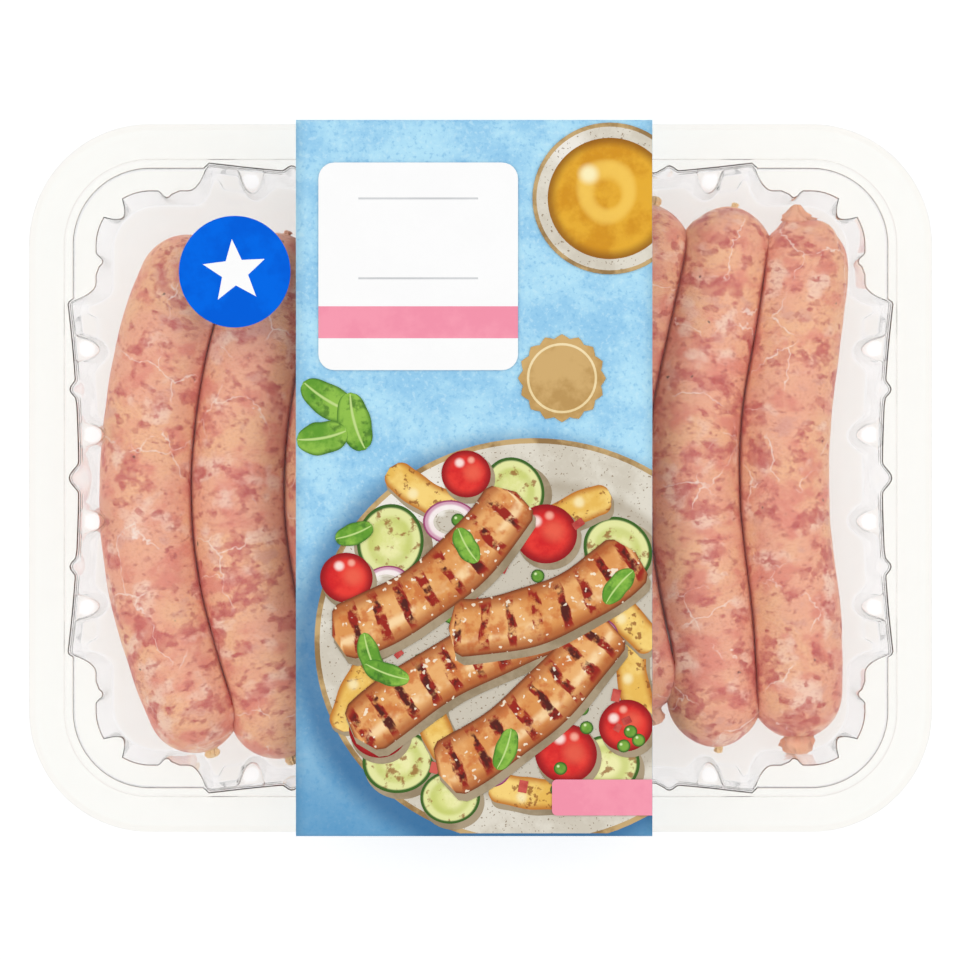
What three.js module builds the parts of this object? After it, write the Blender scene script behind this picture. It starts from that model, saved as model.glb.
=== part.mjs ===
// A retail pack of fresh pork sausages: a clear formed tray, the film sealed over it, a printed
// card sleeve round its middle, a round label and six sausages lying in two groups of three.
// Millimetres, +Z up. The origin is under the middle of the tray, X runs along its long side, and
// the sausages lie along Y. The pack stands on the sleeve's lower panel.
import * as THREE from "three";

// ---------------------------------------------------------------- driving dimensions

const CARD = 0.45; // thickness of the sleeve's board
const CLEAR = 0.3; // air between pieces that rest on each other

// The tray is a standard top-seal size, formed from one sheet.
const TRAY = {
  length: 227, // over the rim, along X
  width: 178, // over the rim, along Y
  height: 33.5, // flange top above the underside of the base
  cornerRadius: 30.5, // outline of the rim in plan
  wall: 0.45,
  draft: Math.tan(THREE.MathUtils.degToRad(5)), // how far a wall leans in for each mm down
};

// The rim, as insets from the outline and depths below the flange top.
const RIM = {
  lipDrop: 2, // the outer edge turns down this far
  lipInset: 1.75, // where the flat flange starts
  flangeInset: 9.2, // where it ends
  ledgeInset: 9.5, // foot of the small step inside it
  ledgeDepth: 1.2,
};

// The four corner shelves that carry the lugs which keep stacked trays apart.
const SHELF = {
  outerInset: 11.2, // the step down to the shelf
  stepLean: 0.4,
  depth: 4,
  innerInset: 16.7, // its inner edge, without lugs
  reach: 13.8, // how far it runs on past the corner's arc
  endInset: 13.3, // where its inner edge meets the side wall again
  lugInset: 19.8, // the wide lug on the corner's diagonal
  lugHalfAngle: 8, // degrees
  nibInset: 18.3, // the narrow nib just past the arc
  nibPlace: 4, // from the end of the arc
  nibHalf: 1.6, // half its width
  endFrom: 11.2, // where the inner edge starts to curve back to the wall
};

// The side walls bow in towards the middle of each side and carry round vertical flutes.
const SIDE = {
  endInset: 9.9, // wall's top edge beside a corner shelf
  shortBow: 2.7, // how much further in it is at the middle of a short side
  longBow: 4.2,
};
// A flute is a pocket that goes outwards: its place along the side, half its width and its depth.
const SMALL_FLUTE = { half: 2.2, depth: 1.5 };
const WIDE_FLUTE = { half: 3.4, depth: 2.3 };
const FLUTES = {
  short: [
    { at: -22.2, ...SMALL_FLUTE },
    { at: 0, ...WIDE_FLUTE },
    { at: 22.2, ...SMALL_FLUTE },
  ],
  long: [
    { at: -47.3, ...SMALL_FLUTE },
    { at: 47.3, ...SMALL_FLUTE },
  ],
};
const BASE_RADIUS = 3.5; // where the walls turn into the base
const ROUND_MIDDLE = 0.3; // a quarter round's middle lies this share of its radius from both faces

const FILM = { inset: 1.2, thickness: 0.15 };

// The sleeve is one strip of card, folded to a loop and glued to itself under the tray.
const SLEEVE = {
  width: 89.3, // along X
  offset: -1.6, // its middle, along X: it is not quite centred
  topHalf: 89.8, // outer face of the folds at the rim
  footHalf: 75, // outer face of the folds under the tray
  rimBand: 3.4, // height of the band that wraps the rim
  outerPanelEnd: 24, // where the outer lower panel stops
  innerPanelEnd: -16, // where the lower panel inside it stops
};

const STICKER = { radius: 14, thickness: 0.12, x: -61.6, y: 51.7 };

// Heights that follow.
const LOWER_CARD = 2 * CARD; // the two lower panels of the sleeve where they overlap
const FLANGE_TOP = LOWER_CARD + CLEAR + TRAY.height;
const BASE_DEPTH = TRAY.height - TRAY.wall; // base's upper face below the flange top
const BASE_TOP = FLANGE_TOP - BASE_DEPTH;
const FILM_TOP = FLANGE_TOP + CLEAR + FILM.thickness;
const SLEEVE_TOP = FILM_TOP + CLEAR + CARD;

// Each sausage: the points that its middle line passes through in plan, from the far end to the
// near one, its width, and the radius and length of the knot of casing at each end.
const SAUSAGE_HEIGHT = 20.8;
const SAUSAGES = [
  {
    line: [[-70.5, 61.5], [-80, 38], [-85.2, 7], [-84.6, -21], [-78.5, -45], [-68.8, -69.6]],
    width: 23.8,
    knots: [[1.6, 2.2], [1.7, 2]],
  },
  {
    line: [[-49.5, 62.5], [-58, 32], [-62, 2], [-60.6, -21.6], [-55.3, -47], [-48.5, -71.5]],
    width: 23.6,
    knots: [[1.8, 2.2], [1.5, 2]],
  },
  {
    line: [[-22, 65], [-33.5, 32], [-38.2, 0], [-34.5, -32], [-24.5, -66]],
    width: 23.4,
    knots: [[1.6, 2.2], [1.8, 2.2]],
  },
  {
    line: [[44.5, 70], [38.5, 45], [32, 14], [31.5, -14], [35.5, -36], [44, -59.5]],
    width: 23.4,
    knots: [[1.7, 2.2], [1.9, 2.6]],
  },
  {
    line: [[65, 69.5], [60.5, 44], [55.2, 17], [54.9, -6], [58.3, -37], [61, -69]],
    width: 22.9,
    knots: [[1.5, 2], [1.5, 2.2]],
  },
  {
    line: [[83.4, 65.4], [81.8, 44], [78.2, 14], [77.8, -8], [80.8, -37], [81.2, -66]],
    width: 23,
    knots: [[3.8, 4.2], [2.2, 2.2]],
  },
];
const GROUP = 3; // sausages that lie side by side against each other
const PRESS_GAP = 0.4; // between two that press together
const CAP_LENGTH = 12.5; // the rounded end of a sausage
const FLAT_SHARE = 0.9; // how far down the round section goes before the flat that it lies on
const RING_SIDES = 16;
const BODY_RINGS = 13;
const TIP_RISE = 0.4; // how far a knot's end bulges

const COLOURS = {
  tray: { color: 0xf4f5f4, roughness: 0.1, metalness: 0, transparent: true, opacity: 0.35 },
  film: { color: 0xffffff, roughness: 0.06, metalness: 0, transparent: true, opacity: 0.12 },
  sleeve: { color: 0x86cdee, roughness: 0.45, metalness: 0 },
  sticker: { color: 0x0664e3, roughness: 0.4, metalness: 0 },
  sausage: { color: 0xd49a86, roughness: 0.35, metalness: 0 },
};

// ---------------------------------------------------------------- shared shape code

// A closed mesh from rings of equal length, each joined to the next, with a point at each end.
// The rings run so that their faces point outwards.
function meshFromRings(first, rings, last) {
  const sides = rings[0].length;
  const points = [first, ...rings.flat(), last];
  const ringStart = (r) => 1 + r * sides;
  const triangles = [];
  for (let k = 0; k < sides; k += 1) {
    const next = (k + 1) % sides;
    triangles.push(0, ringStart(0) + k, ringStart(0) + next);
    for (let r = 0; r + 1 < rings.length; r += 1) {
      const a = ringStart(r);
      const b = ringStart(r + 1);
      triangles.push(a + k, b + k, b + next, a + k, b + next, a + next);
    }
    const end = ringStart(rings.length - 1);
    triangles.push(end + k, points.length - 1, end + next);
  }
  const geometry = new THREE.BufferGeometry().setFromPoints(points);
  geometry.setIndex(triangles);
  geometry.computeVertexNormals();
  return geometry;
}

// The tray's outline in plan as a shape, moved in by an inset.
function roundedOutline(inset, arcSteps = 10) {
  const halfX = TRAY.length / 2 - inset;
  const halfY = TRAY.width / 2 - inset;
  const r = TRAY.cornerRadius - inset;
  const shape = new THREE.Shape();
  shape.absarc(halfX - r, halfY - r, r, 0, Math.PI / 2);
  shape.absarc(r - halfX, halfY - r, r, Math.PI / 2, Math.PI);
  shape.absarc(r - halfX, r - halfY, r, Math.PI, 1.5 * Math.PI);
  shape.absarc(halfX - r, r - halfY, r, 1.5 * Math.PI, 2 * Math.PI);
  return new THREE.Shape(shape.getPoints(arcSteps).slice(0, -1));
}

// ---------------------------------------------------------------- tray

// Each station is a place on the outline with its inward direction. What the tray does there
// follows from `past`, the distance past the end of the nearest corner's arc, or from `angle`,
// the angle from that corner's diagonal.
const SHELF_PLACES = [
  0,
  SHELF.nibPlace - SHELF.nibHalf,
  SHELF.nibPlace,
  SHELF.nibPlace + SHELF.nibHalf,
  SHELF.endFrom,
  13,
  SHELF.reach,
];
const HALF_CORNER = [SHELF.lugHalfAngle, 11, 17, 27, 36];
const CORNER_ANGLES = [...HALF_CORNER.map((angle) => -angle).reverse(), 0, ...HALF_CORNER];
const JOG = 0.9; // the wall's edge moves out over this length beside a shelf
const BOW_PLACES = [0.35, 0.7]; // places between the flutes and a side's ends, as shares
const FLUTE_MARGIN = 1; // no other place lies closer than this to a flute

function sideStations(half, flutes, bow, out, along) {
  const places = SHELF_PLACES.map((e) => half - e);
  const free = half - SHELF.reach - JOG;
  places.push(free, ...BOW_PLACES.map((share) => share * free));
  const mirrored = [...places, ...places.map((p) => -p)];
  const cut = flutes.flatMap((f) => [f.at - f.half, f.at, f.at + f.half]);
  const clearOfFlutes = (p) => flutes.every((f) => Math.abs(p - f.at) > f.half + FLUTE_MARGIN);
  const pocket = (s) => flutes.find((f) => f.at === s)?.depth ?? 0;
  return [...mirrored.filter(clearOfFlutes), ...cut]
    .sort((a, b) => a - b)
    .map((s) => ({
      point: new THREE.Vector2().copy(out.extent).addScaledVector(along, s),
      inward: out.normal.clone().negate(),
      past: half - Math.abs(s),
      wallInset: SIDE.endInset + bow * (1 - (s / free) ** 2) - pocket(s),
    }));
}

function cornerStations(centre, startAngle) {
  return CORNER_ANGLES.map((angle) => {
    const outward = new THREE.Vector2(1, 0).rotateAround(
      new THREE.Vector2(),
      THREE.MathUtils.degToRad(startAngle + 45 + angle),
    );
    return {
      point: centre.clone().addScaledVector(outward, TRAY.cornerRadius),
      inward: outward.clone().negate(),
      angle,
    };
  });
}

// All the stations, once round the tray.
function trayStations() {
  const halfX = TRAY.length / 2;
  const halfY = TRAY.width / 2;
  const r = TRAY.cornerRadius;
  const stations = [];
  for (let turn = 0; turn < 4; turn += 1) {
    const long = turn % 2 === 1;
    const quarter = (turn * Math.PI) / 2;
    const normal = new THREE.Vector2(Math.cos(quarter), Math.sin(quarter));
    const along = new THREE.Vector2(-normal.y, normal.x);
    const out = { normal, extent: normal.clone().multiplyScalar(long ? halfY : halfX) };
    const half = (long ? halfX : halfY) - r;
    const flutes = long ? FLUTES.long : FLUTES.short;
    stations.push(...sideStations(half, flutes, long ? SIDE.longBow : SIDE.shortBow, out, along));
    const centre = out.extent.clone().addScaledVector(normal, -r).addScaledVector(along, half);
    stations.push(...cornerStations(centre, THREE.MathUtils.radToDeg(quarter)));
  }
  return stations;
}

// Inner edge of the corner shelf at a station.
function shelfInset(station) {
  if (station.angle !== undefined) {
    return Math.abs(station.angle) <= SHELF.lugHalfAngle ? SHELF.lugInset : SHELF.innerInset;
  }
  if (station.past === SHELF.nibPlace) return SHELF.nibInset;
  const share = Math.max(0, (station.past - SHELF.endFrom) / (SHELF.reach - SHELF.endFrom));
  return THREE.MathUtils.lerp(SHELF.innerInset, SHELF.endInset, share ** 2);
}

// The tray's upper skin at a station, from the lip to the edge of the base, as insets and depths.
// Away from the shelves the wall keeps two points at the shelves' heights, so that all the profiles
// have as many points.
const WALL_STEP = 0.05; // how far in each of them lies

function trayProfile(station) {
  const onShelf = station.angle !== undefined || station.past <= SHELF.reach + 1e-6;
  const wall = onShelf ? shelfInset(station) : station.wallInset;
  const top = onShelf ? SHELF.outerInset : wall;
  const lean = (depth) => TRAY.draft * (depth - SHELF.depth);
  const footDepth = BASE_DEPTH - BASE_RADIUS;
  const foot = Math.min(wall, SHELF.innerInset) + lean(footDepth); // the lugs fade out downwards
  const halfWay = (RIM.ledgeDepth + SHELF.depth) / 2;
  return [
    [0, RIM.lipDrop],
    [RIM.lipInset, 0],
    [RIM.flangeInset, 0],
    [RIM.ledgeInset, RIM.ledgeDepth],
    [top, RIM.ledgeDepth],
    onShelf ? [top + SHELF.stepLean, SHELF.depth] : [wall + WALL_STEP, halfWay],
    [onShelf ? wall : wall + 2 * WALL_STEP, SHELF.depth],
    [foot, footDepth],
    [foot + ROUND_MIDDLE * BASE_RADIUS, BASE_DEPTH - ROUND_MIDDLE * BASE_RADIUS],
    [foot + BASE_RADIUS, BASE_DEPTH],
  ].map(([inset, depth]) => new THREE.Vector2(inset, -depth));
}

// The lower skin: the upper one moved by the sheet's thickness, away from the inside.
function underProfile(profile) {
  const inwards = new THREE.Vector2(1, 0);
  return profile.map((point, i) => {
    const before = i > 0 ? point.clone().sub(profile[i - 1]).normalize() : null;
    const after = i + 1 < profile.length ? profile[i + 1].clone().sub(point).normalize() : inwards;
    const turn = before ? before.clone().add(after).normalize() : after;
    const stretch = before ? Math.min(1.5, 1 / Math.max(0.2, turn.dot(after))) : 1;
    const away = new THREE.Vector2(turn.y, -turn.x);
    return point.clone().addScaledVector(away, TRAY.wall * stretch);
  });
}

function trayGeometry() {
  const stations = trayStations();
  const upper = stations.map(trayProfile);
  const lower = upper.map(underProfile);
  const ring = (profiles, level) =>
    stations.map(({ point, inward }, i) => {
      const { x: inset, y: z } = profiles[i][level];
      const plan = point.clone().addScaledVector(inward, inset);
      return new THREE.Vector3(plan.x, plan.y, FLANGE_TOP + z);
    });
  const levels = upper[0].map((_, level) => level);
  const rings = [
    ...levels.map((level) => ring(upper, level)).reverse(),
    ...levels.map((level) => ring(lower, level)),
  ];
  const middle = (z) => new THREE.Vector3(0, 0, z);
  return meshFromRings(middle(BASE_TOP), rings, middle(BASE_TOP - TRAY.wall));
}

// ---------------------------------------------------------------- film and sticker

function filmGeometry() {
  const geometry = new THREE.ExtrudeGeometry(roundedOutline(FILM.inset), {
    depth: FILM.thickness,
    bevelEnabled: false,
  });
  return geometry.translate(0, 0, FLANGE_TOP + CLEAR);
}

function stickerGeometry() {
  const { radius, thickness } = STICKER;
  return new THREE.CylinderGeometry(radius, radius, thickness, 48).rotateX(Math.PI / 2);
}

// ---------------------------------------------------------------- sleeve

// The loop's path in YZ along the card's outer face, moved in by `inset`.
function sleeveLoop(inset, lowerPanels) {
  const rimFoot = SLEEVE_TOP - SLEEVE.rimBand;
  const slope = new THREE.Vector2(SLEEVE.topHalf - SLEEVE.footHalf, rimFoot).normalize();
  const sideInset = inset / slope.y; // measured level, on the slanting side
  const top = SLEEVE_TOP - inset;
  const half = SLEEVE.topHalf - inset;
  const lower = lowerPanels.map(([y, z]) => [y - Math.sign(y) * sideInset, z]);
  const upper = [
    [half, rimFoot],
    [half, top],
    [-half, top],
    [-half, rimFoot],
  ];
  return [...lower, ...upper].map(([y, z]) => new THREE.Vector2(y, z));
}

function sleeveGeometry() {
  const foot = SLEEVE.footHalf;
  const outer = sleeveLoop(0, [
    [-foot, 0],
    [SLEEVE.outerPanelEnd, 0],
    [SLEEVE.outerPanelEnd, CARD],
    [foot, CARD],
  ]);
  const inner = sleeveLoop(CARD, [
    [-foot, CARD],
    [SLEEVE.innerPanelEnd, CARD],
    [SLEEVE.innerPanelEnd, LOWER_CARD],
    [foot, LOWER_CARD],
  ]);
  const section = new THREE.Shape(outer);
  section.holes.push(new THREE.Path(inner));
  const geometry = new THREE.ExtrudeGeometry(section, { depth: SLEEVE.width, bevelEnabled: false });
  // The section is drawn in X and Y, so it is turned to stand in the YZ plane.
  const upright = new THREE.Matrix4().makeBasis(
    new THREE.Vector3(0, 1, 0),
    new THREE.Vector3(0, 0, 1),
    new THREE.Vector3(1, 0, 0),
  );
  return geometry.translate(0, 0, -SLEEVE.width / 2).applyMatrix4(upright);
}

// ---------------------------------------------------------------- sausages

function middleLine({ line }) {
  const points = line.map(([x, y]) => new THREE.Vector3(x, y, 0));
  return new THREE.CatmullRomCurve3(points, false, "centripetal");
}

// Half the width towards a neighbour: the sausage's own, or half the way to the neighbour's line.
const LINE_SAMPLES = 120;

function halfWidth(point, own, neighbour) {
  if (!neighbour) return own;
  const samples = neighbour.getSpacedPoints(LINE_SAMPLES);
  const nearest = Math.min(...samples.map((p) => p.distanceTo(point)));
  return Math.min(own, (nearest - PRESS_GAP) / 2);
}

// A knot is a small barrel, as [how far out, share of its radius] from the body to its tip.
const KNOT = [
  [0, 0.8],
  [0.5, 1],
  [1, 0.65],
];
const CAP_PLACES = [0.03, 0.14, 0.34, 0.62]; // rings of a rounded end, as shares of its length

// The rings of one end, from the body outwards: the distance from the end of the middle line, and
// the radius of the knot or the share of the sausage's full section.
function endStations([radius, length]) {
  const cap = CAP_PLACES.map((x) => ({ back: x * CAP_LENGTH, share: Math.sqrt(1 - (1 - x) ** 2) }));
  const knot = KNOT.map(([out, share]) => ({ back: -out * length, knot: share * radius }));
  return [...cap.reverse(), ...knot];
}

// All the rings of a sausage, from its far end.
function sausageStations(length, [far, near]) {
  const body = Array.from({ length: BODY_RINGS }, (_, i) => ({
    along: CAP_LENGTH + (i / (BODY_RINGS - 1)) * (length - 2 * CAP_LENGTH),
    share: 1,
  }));
  return [
    ...endStations(far).reverse().map((station) => ({ ...station, along: station.back })),
    ...body,
    ...endStations(near).map((station) => ({ ...station, along: length - station.back })),
  ];
}

function sausageGeometry(index, curves) {
  const { width, knots } = SAUSAGES[index];
  const curve = curves[index];
  const length = curve.getLength();
  const sameGroup = (other) => Math.floor(other / GROUP) === Math.floor(index / GROUP);
  const left = sameGroup(index - 1) ? curves[index - 1] : null;
  const right = sameGroup(index + 1) ? curves[index + 1] : null;
  const halfHeight = SAUSAGE_HEIGHT / (1 + FLAT_SHARE);
  const axisHeight = BASE_TOP + CLEAR + FLAT_SHARE * halfHeight;
  const rings = sausageStations(length, knots).map(({ along, share, knot }) => {
    const u = THREE.MathUtils.clamp(along / length, 0, 1);
    const tangent = curve.getTangentAt(u);
    const centre = curve.getPointAt(u).addScaledVector(tangent, along - u * length);
    const toRight = new THREE.Vector3(-tangent.y, tangent.x, 0);
    const reach = (side) =>
      knot ?? share * Math.min(width / 2, halfWidth(centre, width / 2, side));
    const rise = knot ?? share * halfHeight;
    return Array.from({ length: RING_SIDES }, (_, k) => {
      const angle = (-2 * Math.PI * k) / RING_SIDES;
      const sideways = Math.cos(angle) * (Math.cos(angle) > 0 ? reach(right) : reach(left));
      const up = Math.max(Math.sin(angle) * rise, -FLAT_SHARE * halfHeight);
      return centre.clone().addScaledVector(toRight, sideways).setZ(axisHeight + up);
    });
  });
  const tip = (ring, tangentAt, step) => {
    const middle = new THREE.Box3().setFromPoints(ring).getCenter(new THREE.Vector3());
    return middle.addScaledVector(curve.getTangentAt(tangentAt), step);
  };
  const first = tip(rings[0], 0, -TIP_RISE);
  const last = tip(rings[rings.length - 1], 1, TIP_RISE);
  return meshFromRings(first, rings, last);
}

// ---------------------------------------------------------------- the pack

function part(name, geometry, colour, place = [0, 0, 0]) {
  const mesh = new THREE.Mesh(geometry, new THREE.MeshStandardMaterial(colour));
  mesh.name = name;
  mesh.position.set(...place);
  return mesh;
}

const pack = new THREE.Group();
pack.add(
  part("tray", trayGeometry(), COLOURS.tray),
  part("film", filmGeometry(), COLOURS.film),
  part("sleeve", sleeveGeometry(), COLOURS.sleeve, [SLEEVE.offset, 0, 0]),
  part("sticker", stickerGeometry(), COLOURS.sticker, [
    STICKER.x,
    STICKER.y,
    FILM_TOP + CLEAR + STICKER.thickness / 2,
  ]),
);

const curves = SAUSAGES.map(middleLine);
SAUSAGES.forEach((_, i) => {
  pack.add(part(`sausage_${i + 1}`, sausageGeometry(i, curves), COLOURS.sausage));
});

export default pack;
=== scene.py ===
# A retail pack of fresh pork sausages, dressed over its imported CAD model: a clear formed tray, six raw
# sausages, a sealed film, a printed card sleeve and a round label, on a pale floor in soft light.
import math
import random

import bmesh
import bpy
from mathutils import Matrix, Vector, noise


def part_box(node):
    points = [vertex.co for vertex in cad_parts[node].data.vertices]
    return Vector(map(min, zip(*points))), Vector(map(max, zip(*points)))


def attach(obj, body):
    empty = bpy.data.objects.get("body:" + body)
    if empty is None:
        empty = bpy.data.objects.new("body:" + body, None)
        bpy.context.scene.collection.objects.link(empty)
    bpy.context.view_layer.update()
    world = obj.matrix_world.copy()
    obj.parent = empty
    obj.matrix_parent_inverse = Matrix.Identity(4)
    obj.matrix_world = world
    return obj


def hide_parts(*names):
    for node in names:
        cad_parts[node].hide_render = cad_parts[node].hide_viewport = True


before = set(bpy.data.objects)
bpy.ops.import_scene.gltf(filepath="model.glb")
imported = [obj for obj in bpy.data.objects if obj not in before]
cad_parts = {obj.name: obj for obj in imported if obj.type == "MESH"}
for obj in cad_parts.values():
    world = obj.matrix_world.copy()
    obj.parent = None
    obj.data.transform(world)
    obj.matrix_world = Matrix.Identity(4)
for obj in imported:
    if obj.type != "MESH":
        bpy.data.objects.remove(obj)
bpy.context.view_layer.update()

# ------------------------------------------------------------------------------------------- tray
# One sheet of clear PET, drawn by vacuum over a mould, which leaves its walls thinner than its flange.
# The flat flange carries the film, corner shelves with lugs keep stacked trays apart, and flutes,
# half-round columns and shallow panels stiffen the walls.

MM = 0.001
tray_low, tray_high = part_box("tray")
TRAY_LENGTH = (tray_high[0] - tray_low[0]) / MM
TRAY_WIDTH = (tray_high[1] - tray_low[1]) / MM
FLANGE_TOP = tray_high[2] / MM
SHEET = 0.45
BASE_DEPTH = 33.05  # base's upper face below the flange top
CORNER_RADIUS = 30.5
COLUMN_STEP, FINE_STEP, COARSE_STEP = 0.45, 0.7, 2.0  # between places at columns, small forms, elsewhere

FLANGE_INNER = 9.2
LEDGE_INSET = 9.5
LEDGE_DEPTH = 1.2
SHELF_STEP = 11.2
SHELF_DEPTH = 4.0
SHELF_EDGE = 16.7
SHELF_REACH = 13.8  # how far a shelf runs on past its corner's arc
SHELF_NOSE = 4.6  # its rounded end
SHELF_JOG = 0.7
LUG_RISE = 3.9
LUG_ANGLE = 11.0
NIB_RISE = 1.7
NIB_PLACE = 4.0
NIB_HALF = 2.6
PANEL_DEEP = 0.5  # a shallow panel between two columns
PANEL_TOP, PANEL_FOOT = (7.6, 8.6), (26.5, 27.6)
NICHE_HALF = 4.2
SILL_RISE = 2.6  # of the low sill in a niche
PAD_RISE = 2.0
RIB_RISE = 0.5
SIDE_EDGE = 9.9
DRAFT = math.tan(math.radians(5))
BASE_BEND = 3.5
FOOT_DEPTH = BASE_DEPTH - BASE_BEND
COLUMN_RADIUS = 2.3
COLUMN_HALF = 3.24  # half a column's width where it grows out of the wall
COLUMN_IN = 2.9  # from the wall's upper edge to the middle of a column's domed top
COLUMN_OUT = 4.8  # how far a column stands out from the wall
DOME_DEPTH = 8.6
DOME_DROP = 3.2
WALL_THINNING = 0.4  # of the flange's thickness
WALL_DEPTHS = (4.8, 6.2, 7.6, 8.6, 8.68, 8.86, 9.2, 9.7, 10.5, 11.8, 13.5, 16.0, 19.0, 22.5, 25.0, 27.4,
               FOOT_DEPTH)
# The rim is the same all round: rows of (inset, depth, how much painted shade on the fold).
RIM_ROWS = [
    (0.0, 2.3, 0.0), (0.06, 1.2, 0.0), (0.35, 0.45, 0.25), (0.95, 0.1, 0.1), (1.6, 0.0, 0.2),
    (1.95, 0.0, 0.0), (3.4, 0.0, 0.0), (3.7, 0.03, 0.1), (4.0, 0.05, 0.0), (7.0, 0.05, 0.0),
    (7.2, 0.02, 0.08), (7.4, 0.0, 0.0), (FLANGE_INNER - 0.3, 0.0, 0.0), (FLANGE_INNER, 0.08, 0.6),
    (FLANGE_INNER + 0.2, 0.5, 0.1), (LEDGE_INSET, 1.0, 0.0), (LEDGE_INSET + 0.2, LEDGE_DEPTH, 0.0),
]
OUTER_ANGLES = [-42 + 3 * k for k in range(9)]
CORNER_ANGLES = OUTER_ANGLES + list(range(-17, 18)) + [-angle for angle in reversed(OUTER_ANGLES)]
# A flute is (place, half its width, depth outwards, how far down it reaches).
SHORT_SIDE = {
    "bow": 2.7,
    "flutes": [(-22.2, 2.5, 1.5, 14), (0.0, 3.9, 2.35, 17.5), (22.2, 2.5, 1.5, 14)],
    "columns": [-32.7, -11.0, 11.0, 32.7],
    "niches": [-39.3, 39.3],
    "pads": [],
}
LONG_SIDE = {
    "bow": 4.2,
    "flutes": [(place, 2.5, 1.5, 14) for place in (-47.3, -23.5, 0.0, 23.5, 47.3)],
    "columns": [-58.0, -35.0, -12.0, 12.0, 35.0, 58.0],
    "niches": [-64.2, 64.2],
    "pads": [-48.3, 48.3],
}


def smooth(low, high, x):
    """0 below low, 1 above high and an even S between them."""
    t = min(1.0, max(0.0, (x - low) / (high - low)))
    return t * t * (3 - 2 * t)


def side_places(side, half):
    """Places along a side, close together where it has small forms."""
    fine = [(abs(flute[0]), flute[1] + 0.3) for flute in side["flutes"]]
    fine += [(abs(place), NICHE_HALF + 0.2) for place in side["niches"]]
    fine += [(half - NIB_PLACE, NIB_HALF), (half - SHELF_REACH + 1.0, 3.0)]
    columns = [abs(place) for place in side["columns"]]
    steps = range(-7, 8)
    at_columns = sorted({round(place + k * COLUMN_STEP, 3) for place in columns for k in steps})
    places = [0.0]
    while places[-1] < half - FINE_STEP:
        now = places[-1]
        near = any(abs(now - place) < reach for place, reach in fine)
        step = now + (FINE_STEP if near else COARSE_STEP)
        ahead = [place for place in at_columns if now + 0.05 < place < step + 0.25]
        places.append(min(ahead[0] if ahead else step, half))
    places[places.index(max(places))] = half
    return sorted(set([-s for s in places] + places))


def rim_stations():
    """Places once round the rim: a point in plan, its inward direction, and where on the tray it is."""
    stations = []
    for turn in range(4):
        side = LONG_SIDE if turn % 2 else SHORT_SIDE
        half = (TRAY_LENGTH if turn % 2 else TRAY_WIDTH) / 2 - CORNER_RADIUS
        extent = (TRAY_WIDTH if turn % 2 else TRAY_LENGTH) / 2
        normal = Vector((math.cos(turn * math.pi / 2), math.sin(turn * math.pi / 2)))
        along = Vector((-normal.y, normal.x))
        for s in side_places(side, half):
            stations.append({"point": normal * extent + along * s, "inward": -normal, "side": side,
                             "s": s, "half": half, "past": half - abs(s), "angle": None})
        centre = normal * (extent - CORNER_RADIUS) + along * half
        for angle in CORNER_ANGLES:
            turned = math.radians(turn * 90 + 45 + angle)
            out = Vector((math.cos(turned), math.sin(turned)))
            stations.append({"point": centre + out * CORNER_RADIUS, "inward": -out, "side": side,
                             "s": None, "half": half, "past": 0.0, "angle": angle})
    return stations


def shelf_share(station):
    """1 where the corner shelf is, 0 along the free wall."""
    return 1 - smooth(SHELF_REACH, SHELF_REACH + SHELF_JOG, station["past"])


def off_column(station):
    """How far a station is from the nearest column."""
    if station["s"] is None:
        return 99.0
    return min(abs(station["s"] - place) for place in station["side"]["columns"])


def wall_edge(station, depth):
    """Inset of the wall's upper edge, with the lugs fading out downwards."""
    fade = 1 - smooth(SHELF_DEPTH, FOOT_DEPTH, depth)
    if station["angle"] is not None:
        across = abs(station["angle"]) / LUG_ANGLE
        finger = (1 - min(1.0, across / 1.25) ** 2) ** 0.7
        return SHELF_EDGE + LUG_RISE * finger * fade
    past = station["past"]
    free_half = station["half"] - SHELF_REACH - SHELF_JOG
    nib = 1 - smooth(0.25, 2.3, abs(past - NIB_PLACE))
    nose = max(0.0, past - SHELF_REACH + SHELF_NOSE) / SHELF_NOSE
    shelf = SHELF_EDGE + NIB_RISE * nib * fade - 1.1 * SHELF_NOSE * min(nose, 1.15) ** 2.3
    free = SIDE_EDGE + station["side"]["bow"] * (1 - (min(abs(station["s"]), free_half) / free_half) ** 2)
    return free + (shelf - free) * shelf_share(station)


def relief(station, depth):
    """Flutes, panels, and niches with their sills, at a depth of the wall, as a change of its inset."""
    if station["s"] is None:
        return 0.0
    s = station["s"]
    rise = 0.0
    for place, half, deep, reach in station["side"]["flutes"]:
        across = abs(s - place) / half
        if across < 1:
            floor = reach * math.sqrt(1 - across ** 2)
            fade = 1 - min(1.0, depth / (floor + 0.01)) ** 2.5
            rise -= deep * math.cos(across * math.pi / 2) ** 1.6 * fade
    clear = off_column(station) - COLUMN_RADIUS - 0.9
    clear = min([clear] + [abs(s - flute[0]) - flute[1] - 0.6 for flute in station["side"]["flutes"]])
    panel_share = smooth(*PANEL_TOP, depth) * (1 - smooth(*PANEL_FOOT, depth))
    rise -= PANEL_DEEP * smooth(0.0, 0.8, clear) * panel_share
    for place in station["side"]["niches"]:
        away = abs(s - place)
        arch = 9.0 + 3.4 * (1 - math.sqrt(max(0.0, 1 - (away / NICHE_HALF) ** 2)))
        rise -= 0.4 * (1 - smooth(2.8, 4.4, away)) * smooth(arch - 1.2, arch + 1.2, depth)
        rise += SILL_RISE * (1 - smooth(1.6, 3.6, away)) * smooth(24.5, 28.5, depth)
    return (1 - shelf_share(station)) * rise


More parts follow.
